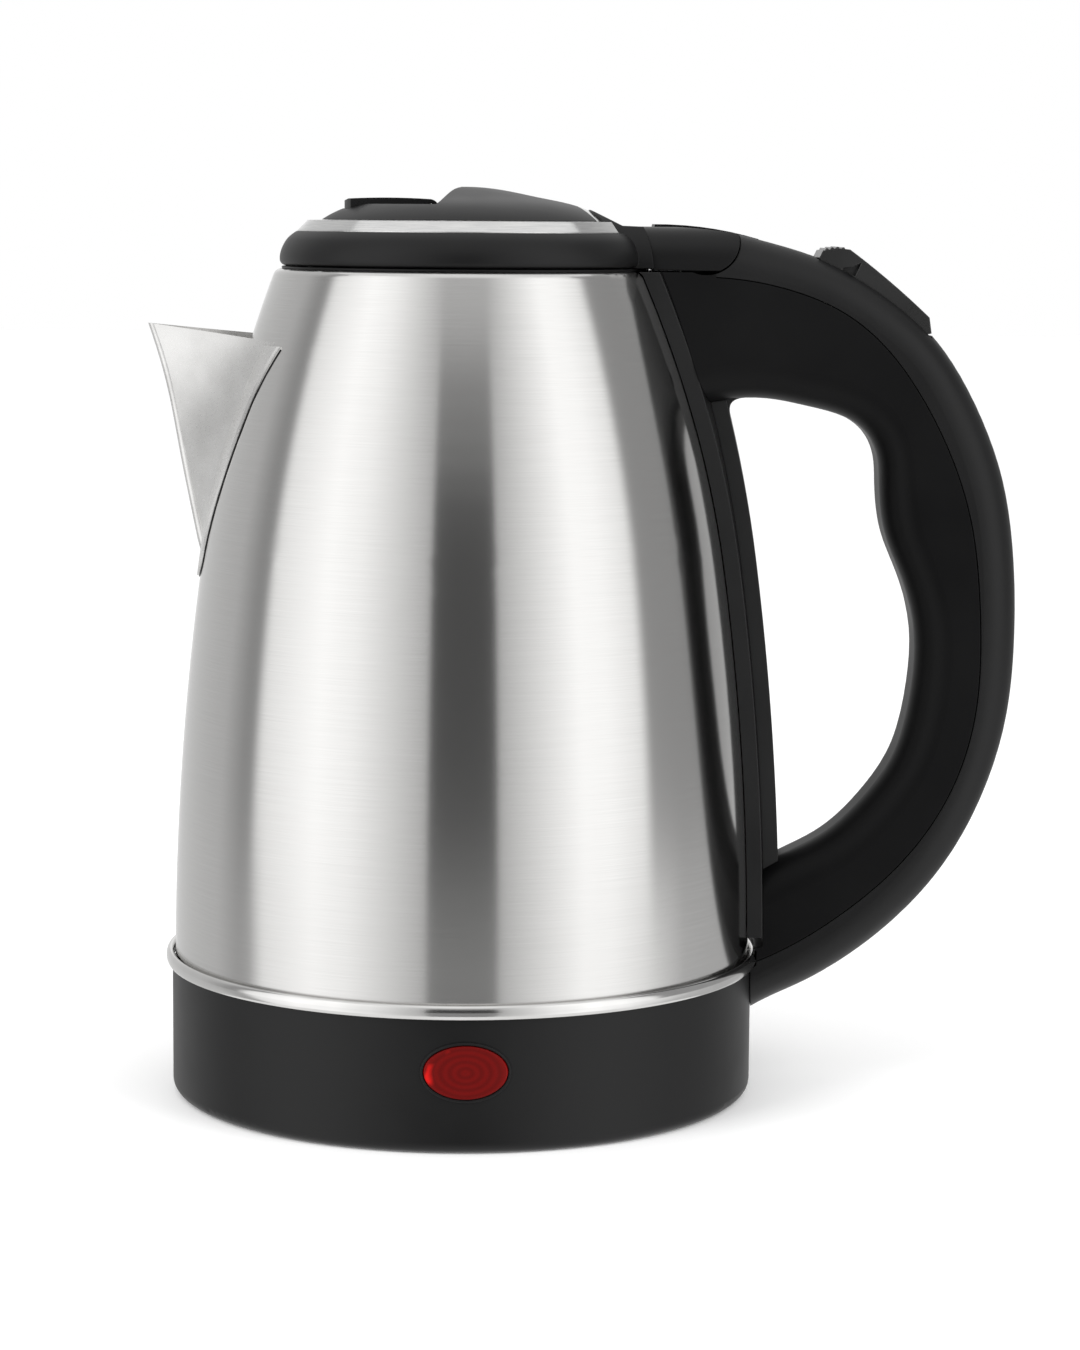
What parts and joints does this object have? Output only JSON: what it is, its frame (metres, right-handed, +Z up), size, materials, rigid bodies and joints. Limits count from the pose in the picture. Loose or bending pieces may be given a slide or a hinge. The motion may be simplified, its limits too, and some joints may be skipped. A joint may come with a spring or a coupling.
{
  "type": "electric kettle",
  "caption": "Cordless electric kettle: brushed steel body with pressed spout, hinged lid with lift tab, black handle with power rocker, socket underneath.",
  "frame": {"origin": "on the body's vertical axis, in the plane of the rim that the kettle rests on", "axes": "+Z up along the body's axis, +X towards the handle, -X towards the spout, -Y towards the side with the indicator lens"},
  "size_m": [0.222, 0.1532, 0.232],
  "materials": {
    "steel": "brushed round the body",
    "steel_plain": "plain pressed and drawn steel",
    "trim": "satin chrome plating on plastic",
    "black_plastic": "fine matte texture",
    "black_gloss": "satin moulded",
    "aluminium": "cast",
    "brass": "bright",
    "silicone": "translucent grey silicone",
    "red_lens": "clear red, moulded",
    "lamp_glass": "clear",
    "white_plastic": "heat resistant",
    "wire_red": "insulation",
    "wire_blue": "insulation"
  },
  "bodies": {
    "kettle": {"body_shell": "steel", "spout": "steel", "foot_ring": "steel", "mouth_collar": "black_plastic", "boiler_floor": "steel_plain", "heat_plate": "aluminium", "heating_element": "aluminium", "element_terminals": "steel_plain", "thermal_control": "white_plastic", "socket_contacts": "brass", "earth_pin": "brass", "bimetal_discs": "steel_plain", "control_screws": "steel_plain", "bottom_housing": "black_plastic", "housing_seal": "silicone", "bottom_cover": "black_plastic", "bottom_screws": "steel_plain", "indicator_lens": "red_lens", "indicator_lamp": "lamp_glass", "lamp_holder": "white_plastic", "spine_frame": "black_plastic", "spine_cover": "black_plastic", "upper_bracket": "steel_plain", "lower_bracket": "steel_plain", "handle_screws": "steel_plain", "steam_tube": "silicone", "steam_switch": "white_plastic", "steam_bimetal": "steel_plain", "live_wire": "wire_red", "neutral_wire": "wire_blue", "rocker_pin": "steel_plain", "lid_hinge_pin": "steel_plain", "handle_grip": "black_plastic", "handle_cover": "black_plastic"},
    "lid": {"lid_ring": "black_plastic", "lid_trim": "trim", "lid_cap": "black_plastic", "tab_pin": "steel_plain", "lid_plug": "black_plastic", "lid_gasket": "silicone", "lid_screws": "steel_plain", "lid_yoke": "black_plastic"},
    "tab": {"lid_tab": "black_plastic"},
    "latch": {"lid_latch": "white_plastic", "latch_spring": "steel_plain"},
    "rocker": {"power_rocker": "black_gloss"},
    "plunger": {"switch_plunger": "white_plastic"}
  },
  "joints": [
    {"name": "lid_hinge", "type": "hinge", "parent": "kettle", "child": "lid", "pos_m": [0.0602, 0, 0.2192], "axis": [0, 1, 0], "range_deg": [0, 80]},
    {"name": "tab_hinge", "type": "hinge", "parent": "lid", "child": "tab", "pos_m": [-0.009, 0, 0.2267], "axis": [0, 1, 0], "range_deg": [0, 20], "stiffness_Nm_per_rad": 0.02, "springref_deg": -20.05},
    {"name": "latch_slide", "type": "slide", "parent": "lid", "child": "latch", "axis": [1, 0, 0], "range_m": [0, 0.002]},
    {"name": "rocker_hinge", "type": "hinge", "parent": "kettle", "child": "rocker", "pos_m": [0.104, 0, 0.204], "axis": [0, -1, 0], "range_deg": [0, 7]},
    {"name": "plunger_slide", "type": "slide", "parent": "kettle", "child": "plunger", "axis": [-0.5255, 0, -0.8508], "range_m": [0, 0.00112]}
  ],
  "couplings": [
    {"joint": "latch_slide", "follows": "tab_hinge", "m_per_rad": 0.005729},
    {"joint": "plunger_slide", "follows": "rocker_hinge", "m_per_rad": 0.009}
  ]
}
